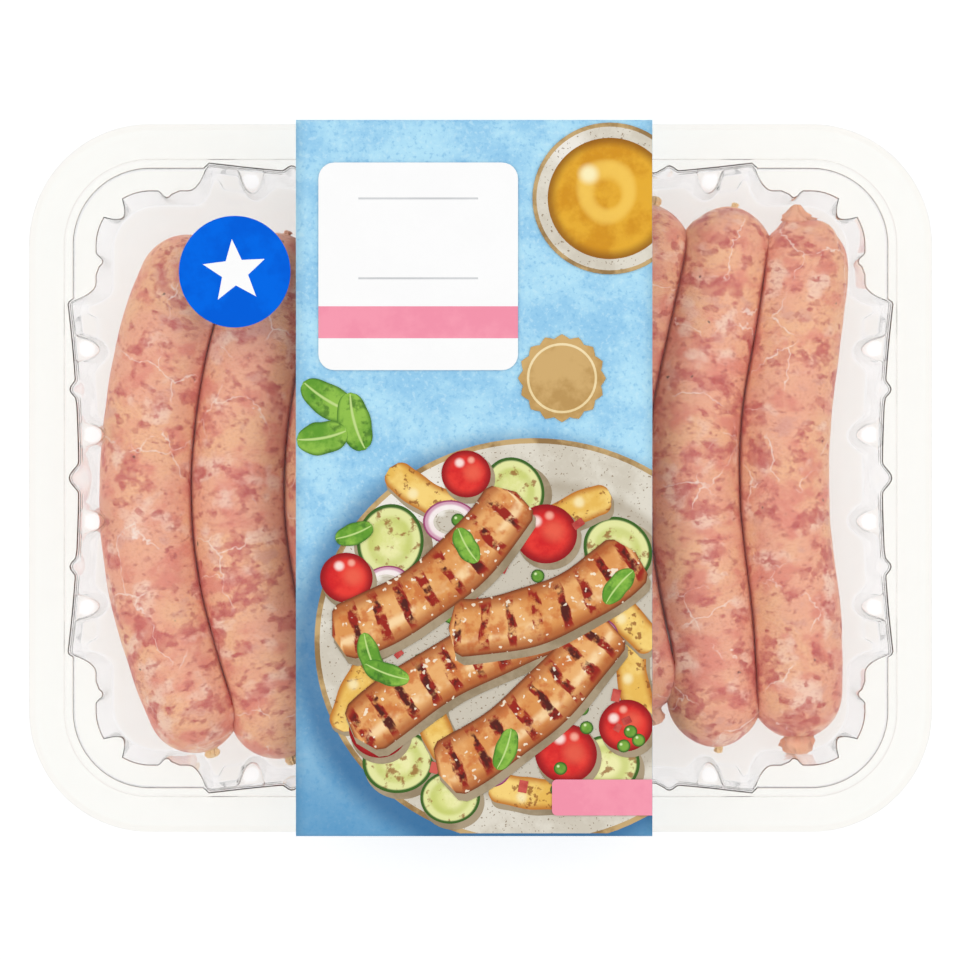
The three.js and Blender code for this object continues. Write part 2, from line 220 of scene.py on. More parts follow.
def wall_rows(station):
    """The wall below the shelf's depth, with the half-round columns and their domed tops, as (inset, depth,
    how much painted shade on the fold, how much painted highlight on a dome's top), and how much of a
    column its foot is."""
    lean = DRAFT * (SHELF_DEPTH - LEDGE_DEPTH) * (1 - shelf_share(station))
    off = off_column(station)
    middle = wall_edge(station, SHELF_DEPTH) + COLUMN_IN
    rows = []
    for down in WALL_DEPTHS:
        plain = wall_edge(station, down) + lean + DRAFT * (down - SHELF_DEPTH) + relief(station, down)
        t = min(1.0, max(0.0, (down - DOME_DEPTH) / DOME_DROP))
        half = COLUMN_HALF + 0.05 * (down - DOME_DEPTH)
        side = math.cos(min(1.0, off / half) * math.pi / 2) ** 0.7
        stand = COLUMN_OUT - 0.05 * max(0.0, down - DOME_DEPTH - DOME_DROP)
        inset = plain + stand * math.sqrt(1 - (1 - t) ** 2) * side
        rho = math.hypot(off, inset - middle) / COLUMN_RADIUS
        on_top = (1 - smooth(0.7, 1.1, rho)) * (0 < t < 1)
        rows.append((inset, down, 0.0, on_top))
    return rows, side


def tray_rows(station):
    """The upper skin from the lip to the middle of the base, in rows like the wall's."""
    share = shelf_share(station)
    edge = wall_edge(station, SHELF_DEPTH)
    top = max(LEDGE_INSET + 0.35, edge + relief(station, LEDGE_DEPTH) + (SHELF_STEP - edge) * share)
    # Each row's third value is how much painted shade lies on its fold.
    rows = RIM_ROWS + [(top - 0.25, LEDGE_DEPTH, 0.0), (top, LEDGE_DEPTH + 0.1, 1.0)]
    for down, run in ((1.6, 0.12), (3.2, 0.36), (3.97, 0.52)):
        on_shelf = top + run
        on_wall = edge + relief(station, down) + DRAFT * (down - LEDGE_DEPTH)
        rows.append((on_wall + (on_shelf - on_wall) * share, down, 0.0))
    lean = DRAFT * (SHELF_DEPTH - LEDGE_DEPTH) * (1 - share)
    for back, down, fold in ((0.7, 0.0, 0.0), (0.3, 0.02, 0.0), (0.0, 0.15, 0.9)):
        ends = edge - back * share + lean + relief(station, SHELF_DEPTH)
        rows.append((max(ends, rows[-1][0] + 0.02), SHELF_DEPTH + down, fold * share))
    wall, column = wall_rows(station)
    rows = [(*row, 0.0) for row in rows] + wall
    foot = rows[-1][0]
    bend = BASE_BEND - 1.8 * column
    for degrees in (25, 50, 72, 90):
        turn = math.radians(degrees)
        rows.append((foot + bend * (1 - math.cos(turn)), FOOT_DEPTH + BASE_BEND * math.sin(turn), 0.0, 0.0))
    room = CORNER_RADIUS - 1.2 + 0.9 * (station["past"] if station["s"] is not None else 0)
    for run in (0.8, 2.4, 5.0, 9.0, 13.0, 16.0):
        inset = min(foot + BASE_BEND + run, room - 0.06 * (16 - run))
        rise = 0.0
        if station["s"] is not None:
            rise = RIB_RISE * (1 - smooth(0.8, 3.2, off_column(station))) * (1 - smooth(9, 16, run))
            for place in station["side"]["pads"]:
                flat = 1 - smooth(4.2, 5.0, abs(station["s"] - place))
                rise = max(rise, PAD_RISE * flat * (1 - smooth(1.5, 3.0, run)))
        rows.append((inset, BASE_DEPTH - rise, 0.0, 0.0))
    return rows


def grow_ring(bm, ring, places):
    """Extrudes a closed ring of vertices to the next one, and returns that in the same order."""
    edges = [bm.edges.get((a, b)) for a, b in zip(ring, ring[1:] + ring[:1])]
    new = bmesh.ops.extrude_edge_only(bm, edges=edges)["geom"]
    fresh = {v for v in new if isinstance(v, bmesh.types.BMVert)}
    grown = [next(e.other_vert(v) for e in v.link_edges if e.other_vert(v) in fresh) for v in ring]
    for v, place in zip(grown, places):
        v.co = place
    return grown


def finish_mesh(bm, name, materials):
    """Makes the object of a bmesh drawn in millimetres, with its faces smooth."""
    bmesh.ops.scale(bm, vec=(MM, MM, MM), verts=bm.verts)
    mesh = bpy.data.meshes.new(name)
    bm.to_mesh(mesh)
    bm.free()
    mesh.shade_smooth()
    for material in materials:
        mesh.materials.append(material)
    piece = bpy.data.objects.new(name, mesh)
    bpy.context.scene.collection.objects.link(piece)
    return piece


def thicken(piece, name, thickness, offset):
    """Gives a drawn sheet its thickness in millimetres, below it at -1 and to both sides at 0."""
    sheet = piece.modifiers.new(name, "SOLIDIFY")
    sheet.thickness = thickness * MM
    sheet.offset = offset
    return sheet


def add_node(tree, kind, inputs=None, **settings):
    """A shader node with its settings, and its inputs as values or as the sockets that feed them."""
    node = tree.nodes.new("ShaderNode" + kind)
    for name, value in settings.items():
        setattr(node, name, value)
    for socket, value in (inputs or {}).items():
        if isinstance(value, bpy.types.NodeSocket):
            tree.links.new(value, node.inputs[socket])
        else:
            node.inputs[socket].default_value = value
    return node


def attribute(tree, name, output="Fac"):
    """A value that the piece's own vertices hold."""
    return add_node(tree, "Attribute", attribute_name=name).outputs[output]


def srgb(red, green, blue):
    """A display colour from 0 to 255 as the linear colour that shaders take."""
    parts = [c / 255 for c in (red, green, blue)]
    return [c / 12.92 if c <= 0.04045 else ((c + 0.055) / 1.055) ** 2.4 for c in parts] + [1.0]


def mix(tree, under, upper, mask):
    """A colour over another where the mask is 1."""
    mixed = add_node(tree, "Mix", {"Factor": mask, 6: under, 7: upper}, data_type="RGBA")
    return mixed.outputs[2]


def clear_plastic(name, ior, roughness):
    """Clear sheet that light passes straight through on its way to what is inside."""
    material = bpy.data.materials.new(name)
    material.use_nodes = True
    tree = material.node_tree
    glass = tree.nodes["Principled BSDF"]
    glass.inputs["Transmission Weight"].default_value = 1.0
    glass.inputs["IOR"].default_value = ior
    glass.inputs["Roughness"].default_value = roughness
    path = add_node(tree, "LightPath")
    through = add_node(tree, "BsdfTransparent")
    inner = add_node(tree, "MixShader", {0: path.outputs["Is Diffuse Ray"],
                     1: glass.outputs["BSDF"], 2: through.outputs["BSDF"]})
    outer = add_node(tree, "MixShader", {0: path.outputs["Is Shadow Ray"],
                     1: inner.outputs["Shader"], 2: through.outputs["BSDF"]})
    tree.links.new(outer.outputs["Shader"], tree.nodes["Material Output"].inputs["Surface"])
    return material, tree, glass


# Painted light in the sheet's colour: painted shade makes the folds faintly brown and the drawn sheet below
# the rim a little grey, steep faces get a paler painted tone, and a painted highlight keeps the domed tops
# of the columns white.
tray_plastic, tree, glass = clear_plastic("clear_tray", 1.18, 0.04)
plastic_tint_and_painted_light = srgb(244, 244, 240)
for part, colour in (("lower_sheet_shade", (240, 238, 235)), ("steep_painted_tone", (248, 248, 249)), ("fold", (238, 231, 224)),
                     ("dome_highlight", (255, 255, 255))):
    plastic_tint_and_painted_light = mix(tree, plastic_tint_and_painted_light, srgb(*colour), attribute(tree, part))
tree.links.new(plastic_tint_and_painted_light, glass.inputs["Base Color"])

stations = rim_stations()
rows = [tray_rows(station) for station in stations]


def level_places(level):
    """Where a level's ring runs, in millimetres."""
    places = []
    for station, row in zip(stations, rows):
        plan = station["point"] + station["inward"] * row[level][0]
        waves = 0.12 * noise.noise(Vector((plan.x * 0.09, plan.y * 0.09, row[level][1] * 0.06)))
        deep = smooth(LEDGE_DEPTH, SHELF_DEPTH, row[level][1])
        places.append(Vector((plan.x, plan.y, FLANGE_TOP - row[level][1] + waves * deep)))
    return places


bm = bmesh.new()
for part in ("fold", "steep_painted_tone", "lower_sheet_shade", "dome_highlight"):
    bm.verts.layers.float.new(part)
fold_shade_layer, steep_tone_layer, lower_shade_layer, dome_highlight_layer = bm.verts.layers.float.values()
sheet_layer = bm.verts.layers.deform.verify()
ring = bmesh.ops.create_circle(bm, cap_ends=False, radius=100, segments=len(stations))["verts"]
for v, place in zip(ring, level_places(0)):
    v.co = place
for level in range(1, len(rows[0])):
    ring = grow_ring(bm, ring, level_places(level))
    for v, row in zip(ring, rows):
        # These hold the painted shade on the folds and the painted highlight on the dome tops.
        v[fold_shade_layer] = row[level][2]
        v[dome_highlight_layer] = row[level][3]
floor_edges = [bm.edges.get((a, b)) for a, b in zip(ring, ring[1:] + ring[:1])]
middle = bmesh.ops.contextual_create(bm, geom=floor_edges)["faces"][0]
bm.normal_update()
if middle.normal.z < 0:
    bmesh.ops.reverse_faces(bm, faces=bm.faces)
    bm.normal_update()
for v in bm.verts:
    # Painted light: a paler painted tone on steep faces, and painted shade on the sheet below the shelves.
    v[steep_tone_layer] = smooth(0.5, 0.98, 1 - abs(v.normal.z))
    v[lower_shade_layer] = smooth(SHELF_DEPTH + 0.2, SHELF_DEPTH + 1.0, FLANGE_TOP - v.co.z)
    thinned = smooth(LEDGE_DEPTH - 0.6, LEDGE_DEPTH, FLANGE_TOP - v.co.z)
    v[sheet_layer][0] = 1 - (1 - WALL_THINNING) * thinned
tray = finish_mesh(bm, "tray_sheet", [tray_plastic])
tray.vertex_groups.new(name="sheet")
thicken(tray, "sheet_thickness", SHEET, -1).vertex_group = "sheet"
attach(tray, "root")
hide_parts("tray")

# ---------------------------------------------------------------------------------------- sausages
# Coarsely ground raw pork with pale fat, filled into natural casing and twisted off at both ends.
# They lie side by side in two groups of three, flattened where they rest on the tray and where they
# press on each other.

SAUSAGE_SIDES = 64
RING_STEP = 0.9
CAP_LENGTH = 12.5
HALF_HEIGHT = 10.95
FLAT_SHARE = 0.9  # of the half height, down to the flattened underside
PRESS_GAP = 0.02
PRESS_FULLER = 0.7  # how much wider a sausage is made before a neighbour presses it flat
PRESS_REACH = 20  # a neighbour farther off than this doesn't press
NO_NEIGHBOUR = 99.0
HOME_STEP = 40  # between two sausages in the space of the "rest" attribute
SAUSAGE_AXIS = 1.65 + 0.3 + FLAT_SHARE * HALF_HEIGHT  # height of a middle line
# Each has its middle line in plan, its width and its far and near tails as (radius, length, how much
# bare casing). The last one's far tail also stands aside.
SAUSAGES = [
    {"line": [(-70.5, 61.5), (-80, 38), (-85.2, 7), (-84.6, -21), (-78.5, -45), (-68.8, -69.6)],
     "width": 23.8, "tails": [(1.6, 2.2, 1.0), (1.7, 2.0, 1.0)]},
    {"line": [(-49.5, 62.5), (-58, 32), (-62, 2), (-60.6, -21.6), (-55.3, -47), (-48.5, -71.5)],
     "width": 23.6, "tails": [(1.0, 0.9, 0.5), (1.5, 2.0, 1.0)]},
    {"line": [(-22, 65), (-33.5, 32), (-38.2, 0), (-34.5, -32), (-24.5, -66)],
     "width": 23.4, "tails": [(1.6, 2.2, 1.0), (1.8, 2.2, 0.5)]},
    {"line": [(44.5, 70), (38.5, 45), (32, 14), (31.5, -14), (35.5, -36), (44, -59.5)],
     "width": 23.4, "tails": [(1.4, 2.2, 1.0), (2.5, 3.8, 0.5)]},
    {"line": [(65, 69.5), (60.5, 44), (55.2, 17), (54.9, -6), (58.3, -37), (61, -69)],
     "width": 22.9, "tails": [(0.9, 1.0, 1.0), (1.0, 1.4, 1.0)]},
    {"line": [(83.4, 65.4), (81.8, 44), (78.2, 14), (77.8, -8), (80.8, -37), (81.2, -66)],
     "width": 23.0, "tails": [(3.6, 4.4, 0.45), (4.0, 4.8, 0.5)], "aside": -2.6},
]


def smooth_line(points, step=0.4):
    """Evenly spaced points on the centripetal curve through the given ones, and its length."""
    points = [Vector(p) for p in points]
    points = [points[0] * 2 - points[1]] + points + [points[-1] * 2 - points[-2]]
    dense = []
    for a, b, c, d in zip(points, points[1:], points[2:], points[3:]):
        before, span, after = (b - a).length ** 0.5, (c - b).length ** 0.5, (d - c).length ** 0.5
        start = ((b - a) / before - (c - a) / (before + span) + (c - b) / span) * span
        end = ((c - b) / span - (d - b) / (span + after) + (d - c) / after) * span
        for k in range(60):
            t = k / 60
            dense.append(b + start * t + (c * 3 - b * 3 - start * 2 - end) * t ** 2
                         + (b * 2 - c * 2 + start + end) * t ** 3)
    dense.append(points[-2])
    lengths = [0.0]
    for a, b in zip(dense, dense[1:]):
        lengths.append(lengths[-1] + (b - a).length)
    even = []
    k = 0
    count = round(lengths[-1] / step)
    for i in range(count + 1):
        wanted = lengths[-1] * i / count
        while k < len(dense) - 2 and lengths[k + 1] < wanted:
            k += 1
        even.append(dense[k].lerp(dense[k + 1], (wanted - lengths[k]) / (lengths[k + 1] - lengths[k])))
    return even, lengths[-1]


def on_line(line, length, along):
    """The point and direction at a distance along a line, running straight on past its ends."""
    u = min(max(along / length, 0.0), 1.0) * (len(line) - 1)
    k = min(int(u), len(line) - 2)
    before, after = line[max(0, k - 4)], line[min(len(line) - 1, k + 5)]
    direction = (after - before).normalized()
    point = line[k].lerp(line[k + 1], u - k)
    return point + direction * (along - min(max(along, 0.0), length)), direction


def soft_min(a, b, blend):
    """The smaller of two, rounded where they meet."""
    return min(a, b) - blend * math.log1p(math.exp(-abs(a - b) / blend))


class Paint:
    """A colour that is built up in layers in a material's nodes."""

    def __init__(self, tree):
        self.tree = tree

    def start(self, under, upper, mask):
        """The first two colours."""
        self.colour = mix(self.tree, srgb(*under), srgb(*upper), mask)

    def mask(self, value, low, high, out_low=0.0, out_high=1.0):
        """A value's range mapped to another with soft ends."""
        mapped = add_node(self.tree, "MapRange", {"Value": value, "From Min": low, "From Max": high,
                          "To Min": out_low, "To Max": out_high}, interpolation_type="SMOOTHSTEP")
        return mapped.outputs["Result"]

    def lay(self, colour, value, low, high, share=1.0):
        """Another colour over it, where a value runs from low to high."""
        self.lay_masked(colour, self.mask(value, low, high, 0, share))

    def lay_masked(self, colour, mask):
        """Another colour over it by a mask."""
        self.colour = mix(self.tree, self.colour, srgb(*colour), mask)

    def both(self, a, b):
        """Two masks multiplied."""
        return add_node(self.tree, "Math", {0: a, 1: b}, operation="MULTIPLY").outputs["Value"]


meat = bpy.data.materials.new("raw_pork")
meat.use_nodes = True
tree = meat.node_tree
flesh = tree.nodes["Principled BSDF"]
rest = attribute(tree, "rest", "Vector")


def meat_noise(scale, detail, stretch, shift, roughness=0.5):
    """Noise in the sausage's own unbent space, drawn out across it where stretch is above 1."""
    spread = add_node(tree, "Mapping", {"Vector": rest, "Location": shift, "Scale": (1, stretch, 1)})
    return add_node(tree, "TexNoise", {"Vector": spread.outputs["Vector"], "Scale": scale,
                    "Detail": detail, "Roughness": roughness}).outputs["Fac"]


pork = Paint(tree)
warm = meat_noise(60, 2.0, 1.0, (0.3, 0, 0))
pork.start((241, 172, 141), (244, 184, 142), pork.mask(warm, 0.4, 0.6))
rosy = meat_noise(115, 3.0, 1.2, (0, 0.4, 0), 0.55)
pork.lay((230, 136, 117), rosy, 0.46, 0.66, 0.85)
pork.lay((216, 150, 142), rosy, 0.42, 0.3, 0.5)
wander = add_node(tree, "TexNoise", {"Vector": rest, "Scale": 170.0, "Detail": 3.0, "Roughness": 0.6})
bent = add_node(tree, "VectorMath", {0: wander.outputs["Color"], "Scale": 0.006}, operation="SCALE")
bent = add_node(tree, "VectorMath", {0: rest, 1: bent.outputs["Vector"]}, operation="ADD")

# Soft fat, then lean meat in scraps and shreds, broken up by crumbs.
pork.lay((251, 214, 192), meat_noise(125, 2.0, 1.1, (0.9, 0.1, 0)), 0.54, 0.7, 0.75)
crumbs = meat_noise(430, 2.0, 1.2, (0.6, 0, 0.2))
mottled = pork.mask(crumbs, 0.38, 0.6, 0.5, 1.0)
lean = meat_noise(112, 4.0, 1.25, (0, 0.15, 0.5), 0.6)
pork.lay_masked((202, 88, 84), pork.both(pork.mask(lean, 0.53, 0.61, 0, 0.85), mottled))
shreds = meat_noise(250, 3.0, 1.4, (0.4, 0.7, 0.2))
pork.lay_masked((194, 82, 78), pork.both(pork.mask(shreds, 0.57, 0.66, 0, 0.8), mottled))
pork.lay((192, 90, 82), crumbs, 0.62, 0.74, 0.55)
grain = meat_noise(1300, 1.0, 1.4, (0, 0, 0))
pork.lay((214, 130, 112), grain, 0.5, 0.7, 0.4)

# Ground pepper: the middles of a few cells, picked by each cell's own random value.
moved = add_node(tree, "Mapping", {"Vector": bent.outputs["Vector"], "Location": (0.7, 0.5, 0)})
cells = add_node(tree, "TexVoronoi", {"Vector": moved.outputs["Vector"], "Scale": 330.0})
chance = add_node(tree, "SeparateColor", {"Color": cells.outputs["Color"]}).outputs["Red"]
pepper = pork.both(pork.mask(cells.outputs["Distance"], 0.15, 0.075), pork.mask(chance, 0.05, 0.049))
pork.lay_masked((72, 54, 42), pork.both(pepper, 0.8))

# Pale membranes in the casing, painted shade in dark red where the sausages press on each other, and the
# bare twisted casing.
veins = add_node(tree, "TexVoronoi", {"Vector": bent.outputs["Vector"], "Scale": 50.0},
                 feature="DISTANCE_TO_EDGE").outputs["Distance"]
vein_edge = pork.mask(rosy, 0.35, 0.65, 0.014, 0.004)
vein_line = add_node(tree, "MapRange", {"Value": veins, "From Min": 0.0, "From Max": vein_edge,
                     "To Min": 1.0, "To Max": 0.0}).outputs["Result"]
vein_mask = pork.mask(meat_noise(70, 1.0, 1.0, (0.8, 0.3, 0.1)), 0.46, 0.56, 0, 0.8)
pork.lay_masked((254, 232, 220), pork.both(vein_line, vein_mask))
# Painted shade in the seams between neighbouring sausages.
pork.lay((186, 56, 40), attribute(tree, "seam_shade"), 0.0, 1.0, 0.8)
casing = attribute(tree, "casing")
pork.lay((248, 184, 150), casing, 0.1, 0.45, 0.7)
pork.lay((246, 212, 156), casing, 0.6, 0.95, 0.85)
tree.links.new(pork.colour, flesh.inputs["Base Color"])
for socket, value in (("IOR", 1.38), ("Coat Weight", 0.12), ("Coat Roughness", 0.3)):
    flesh.inputs[socket].default_value = value
tree.links.new(pork.mask(grain, 0.3, 0.7, 0.4, 0.55), flesh.inputs["Roughness"])
lumps = add_node(tree, "Math", {0: rosy, 1: pork.both(crumbs, 0.4)}, operation="SUBTRACT")
bump = add_node(tree, "Bump", {"Height": lumps.outputs["Value"], "Distance": 0.2 * MM, "Strength": 0.6})
tree.links.new(bump.outputs["Normal"], flesh.inputs["Normal"])

LOBE = Vector((87.2, 64.6))  # a bulge beside the last sausage's far end
LOBE_REACH, LOBE_RISE = 5.5, 1.5


def end_rings(radius, length, tone, start, outward):
    """Rings of a twisted tail from its tip to the body: place along the line, body share, radius, tone."""
    steps = ((1.0, 0.2), (0.94, 0.52), (0.78, 0.84), (0.52, 1.0), (0.25, 0.96), (0.03, 0.8))
    if tone < 0.5:  # torn meat instead of a knot
        steps = ((1.0, 0.22), (0.85, 0.4), (0.6, 0.6), (0.3, 0.85), (0.05, 1.12))
    return [(start + outward * length * out, None, radius * size, tone) for out, size in steps]


lines = [smooth_line(s["line"]) for s in SAUSAGES]


def room_towards(neighbour, centre):
    """How far a sausage may reach towards a neighbour before the two press on each other."""
    if neighbour is None:
        return NO_NEIGHBOUR
    points, length = lines[neighbour]
    nearest = min(range(len(points)), key=lambda k: (points[k] - centre).length)
    from_end = min(nearest, len(points) - 1 - nearest) * length / (len(points) - 1)
    full = math.sqrt(max(0.0, 1 - (1 - min(1.0, from_end / CAP_LENGTH)) ** 2))
    return ((points[nearest] - centre).length - PRESS_GAP) / (1 + full)


for index, sausage in enumerate(SAUSAGES):
    line, length = lines[index]
    left = index - 1 if index % 3 > 0 else None
    right = index + 1 if index % 3 < 2 else None
    half = sausage["width"] / 2
    far, near = sausage["tails"]
    caps = []
    for tail in (far, near):
        first_turn = math.asin(1.15 * tail[0] / half)
        turns = [first_turn + (math.radians(87) - first_turn) * k / 13 for k in range(14)]
        start = CAP_LENGTH * (1 - math.cos(first_turn)) - 0.2
        caps.append([(CAP_LENGTH * (1 - math.cos(t)) - start, math.sin(t)) for t in turns])
    rings = end_rings(*far, 0.0, -1)
    rings += [(x, share, 0.0, far[2] * (1 - smooth(0.1, 0.3, share))) for x, share in caps[0]]
    straight = length - 2 * CAP_LENGTH
    body = round(straight / RING_STEP)
    rings += [(CAP_LENGTH + straight * i / body, 1.0, 0.0, 0.0) for i in range(body + 1)]
    for x, share in reversed(caps[1]):
        rings.append((length - x, share, 0.0, near[2] * (1 - smooth(0.1, 0.3, share))))
    rings += reversed(end_rings(*near, length, 1))
    bm = bmesh.new()
    rest_layer = bm.verts.layers.float_vector.new("rest")
    casing_layer = bm.verts.layers.float.new("casing")
    seam_shade_layer = bm.verts.layers.float.new("seam_shade")
    ring = bmesh.ops.create_circle(bm, cap_ends=False, radius=1, segments=SAUSAGE_SIDES)["verts"]
    first = ring
    for number, (along, share, radius, tone) in enumerate(rings):
        centre, direction = on_line(line, length, along)
        to_right = Vector((-direction.y, direction.x))
        room_left, room_right = room_towards(left, centre), room_towards(right, centre)
        places, homes, seam_shades = [], [], []
        for k in range(SAUSAGE_SIDES):
            angle = -2 * math.pi * k / SAUSAGE_SIDES
            across, up = math.cos(angle), math.sin(angle)
            home = Vector((index * HOME_STEP + half * across, along, half * up))
            seam_shade = 0.0
            aside = sausage.get("aside", 0.0) * (along < length / 2)
            if share is None:
                lump = 1 + 0.12 * math.cos(5 * angle + along)
                lump += 0.5 * noise.noise(Vector((3 * across, along, 3 * up)))
                sideways, rise = radius * across * lump, 0.85 * radius * up * lump
                home = Vector((index * HOME_STEP + radius * across, along, radius * up))
            else:
                swell = 1 + 0.022 * noise.noise(home * 0.055) + 0.014 * noise.noise(home * 0.16)
                aside *= 1 - smooth(0.2, 0.7, share)
                pucker = 1 - 0.1 * (1 - share) ** 2 * (1 + math.cos(7 * angle + index))
                limit = room_right if across > 0 else room_left
                fuller = PRESS_FULLER * share if limit < PRESS_REACH else 0.0
                sideways = (half + fuller) * share * swell * pucker * across
                # Painted shade, strongest where a neighbour presses this sausage flat.
                seam_shade = smooth(limit - 1.1, limit + 0.1, abs(sideways))
                if abs(across) > 0.05:
                    sideways = math.copysign(soft_min(abs(sideways), limit, 0.06), across)
                rise = HALF_HEIGHT * share * swell * pucker * up
                rise = -soft_min(-rise, FLAT_SHARE * HALF_HEIGHT, 0.25) if rise < 0 else rise
                home = Vector((index * HOME_STEP + half * share * across, along, half * share * up))
            spot = centre + to_right * (sideways + aside)
            place = Vector((spot.x, spot.y, SAUSAGE_AXIS + rise))
            if index == 5 and (spot - LOBE).length < LOBE_REACH:
                bulge = LOBE_RISE * (1 - ((spot - LOBE).length / LOBE_REACH) ** 2) ** 2
                place += (place - Vector((centre.x, centre.y - 4, SAUSAGE_AXIS))).normalized() * bulge
            places.append(place)
            homes.append(home)
            seam_shades.append(seam_shade)
        if number == 0:
            for v, place in zip(ring, places):
                v.co = place
        else:
            ring = grow_ring(bm, ring, places)
        for v, home, seam_shade in zip(ring, homes, seam_shades):
            v[rest_layer] = home * MM
            v[casing_layer] = tone
            v[seam_shade_layer] = seam_shade
    for end in (first, ring):
        bmesh.ops.contextual_create(bm, geom=[bm.edges.get((a, b)) for a, b in zip(end, end[1:] + end[:1])])
    bmesh.ops.recalc_face_normals(bm, faces=bm.faces)
    piece = finish_mesh(bm, f"pork_sausage_{index + 1}", [meat])
    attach(piece, "root")
    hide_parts(f"sausage_{index + 1}")

# -------------------------------------------------------------------------------------------- film
# Thin clear lidding film, cut to the flange and heat sealed to it all round, stretched flat.

film_low, film_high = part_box("film")
film_plastic, _, film_glass = clear_plastic("clear_film", 1.25, 0.02)
film_glass.inputs["Base Color"].default_value = srgb(254, 254, 254)
FILM_INSET = 1.2
bm = bmesh.new()
corners = bmesh.ops.create_grid(bm, x_segments=1, y_segments=1, size=1)["verts"]
for v in corners:
    v.co = Vector((v.co.x * film_high[0] / MM, v.co.y * film_high[1] / MM, film_low[2] / MM))
bmesh.ops.bevel(bm, geom=corners, offset=CORNER_RADIUS - FILM_INSET, segments=16, profile=0.5,
                affect="VERTICES", material=-1)
solid = bmesh.ops.extrude_face_region(bm, geom=bm.faces[:])["geom"]
bmesh.ops.translate(bm, verts=[g for g in solid if isinstance(g, bmesh.types.BMVert)],
                    vec=(0, 0, (film_high[2] - film_low[2]) / MM))
bmesh.ops.recalc_face_normals(bm, faces=bm.faces)
film = finish_mesh(bm, "sealed_film", [film_plastic])
film.data.shade_flat()
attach(film, "root")
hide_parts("film")

# ------------------------------------------------------------------------------------------ sleeve
# One strip of white board, 0.45 mm thick, printed and varnished on its outer face. It is folded round
# the sealed tray and its two ends are glued over each other underneath.

CARD = 0.45
sleeve_low, sleeve_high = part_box("sleeve")
SLEEVE_LEFT, SLEEVE_RIGHT = sleeve_low[0] / MM, sleeve_high[0] / MM
SLEEVE_MIDDLE = (SLEEVE_LEFT + SLEEVE_RIGHT) / 2
SLEEVE_TOP = sleeve_high[2] / MM
FOLD_HALF = 89.8 - CARD / 2
FOOT_HALF = 75.0 - CARD / 2
RIM_BAND = 3.4
OUTER_END, INNER_END = 24.0, -16.0
# The strip's middle layer from its outer end, under the tray, round the top and back under the tray.
FOLDS = [(OUTER_END, CARD / 2), (-FOOT_HALF, CARD / 2), (-FOLD_HALF, SLEEVE_TOP - RIM_BAND),
         (-FOLD_HALF, SLEEVE_TOP - CARD / 2), (FOLD_HALF, SLEEVE_TOP - CARD / 2),
         (FOLD_HALF, SLEEVE_TOP - RIM_BAND), (FOOT_HALF, 1.5 * CARD), (INNER_END, 1.5 * CARD)]


def folded_path(folds, radius, spacing):
    """The strip's path with each fold rounded, as points no further apart than the spacing."""
    folds = [Vector(fold) for fold in folds]
    path = [folds[0]]
    for before, fold, after in zip(folds, folds[1:], folds[2:]):
        start = fold + (before - fold).normalized() * radius
        end = fold + (after - fold).normalized() * radius
        run = start - path[-1]
        steps = max(1, math.ceil(run.length / spacing))
        path += [path[-1] + run * (k / steps) for k in range(1, steps + 1)]
        for k in range(1, 6):
            t = k / 5
            path.append(start * (1 - t) ** 2 + fold * 2 * t * (1 - t) + end * t ** 2)
    run = folds[-1] - path[-1]
    steps = max(1, math.ceil(run.length / spacing))
    return path + [path[-1] + run * (k / steps) for k in range(1, steps + 1)]


FIBRES = {"Height": (1400.0, 2.0, 0.5), "Cloud": (90.0, 5.0, 0.65)}  # noise scale, detail, roughness
card_grain = bpy.data.node_groups.new("card_grain", "ShaderNodeTree")
card_grain.interface.new_socket("Vector", in_out="INPUT", socket_type="NodeSocketVector")
for name in FIBRES:
    card_grain.interface.new_socket(name, in_out="OUTPUT", socket_type="NodeSocketFloat")
group_in, group_out = card_grain.nodes.new("NodeGroupInput"), card_grain.nodes.new("NodeGroupOutput")
for name, (scale, detail, roughness) in FIBRES.items():
    fibre = add_node(card_grain, "TexNoise", {"Vector": group_in.outputs["Vector"],
                     "Scale": scale, "Detail": detail, "Roughness": roughness})
    card_grain.links.new(fibre.outputs["Fac"], group_out.inputs[name])


def board(name, roughness, specular=0.3):
    """A board or paper surface with fine fibre relief, and what its colour nodes start from."""
    material = bpy.data.materials.new(name)
    material.use_nodes = True
    tree = material.node_tree
    shader = tree.nodes["Principled BSDF"]
    shader.inputs["Roughness"].default_value = roughness
    shader.inputs["Specular IOR Level"].default_value = specular
    coords = add_node(tree, "TexCoord")
    grain = add_node(tree, "Group", node_tree=card_grain)
    tree.links.new(coords.outputs["Object"], grain.inputs["Vector"])
    bump = add_node(tree, "Bump", {"Height": grain.outputs["Height"], "Distance": 0.03 * MM,
                    "Strength": 0.5})
    tree.links.new(bump.outputs["Normal"], shader.inputs["Normal"])
    return material, tree, shader, coords, grain


def flat_length(tree, vector):
    """The length of a vector in plan."""
    flat = add_node(tree, "VectorMath", {0: vector, 1: (1, 1, 0)}, operation="MULTIPLY")
    length = add_node(tree, "VectorMath", {0: flat.outputs["Vector"]}, operation="LENGTH")
    return length.outputs["Value"]


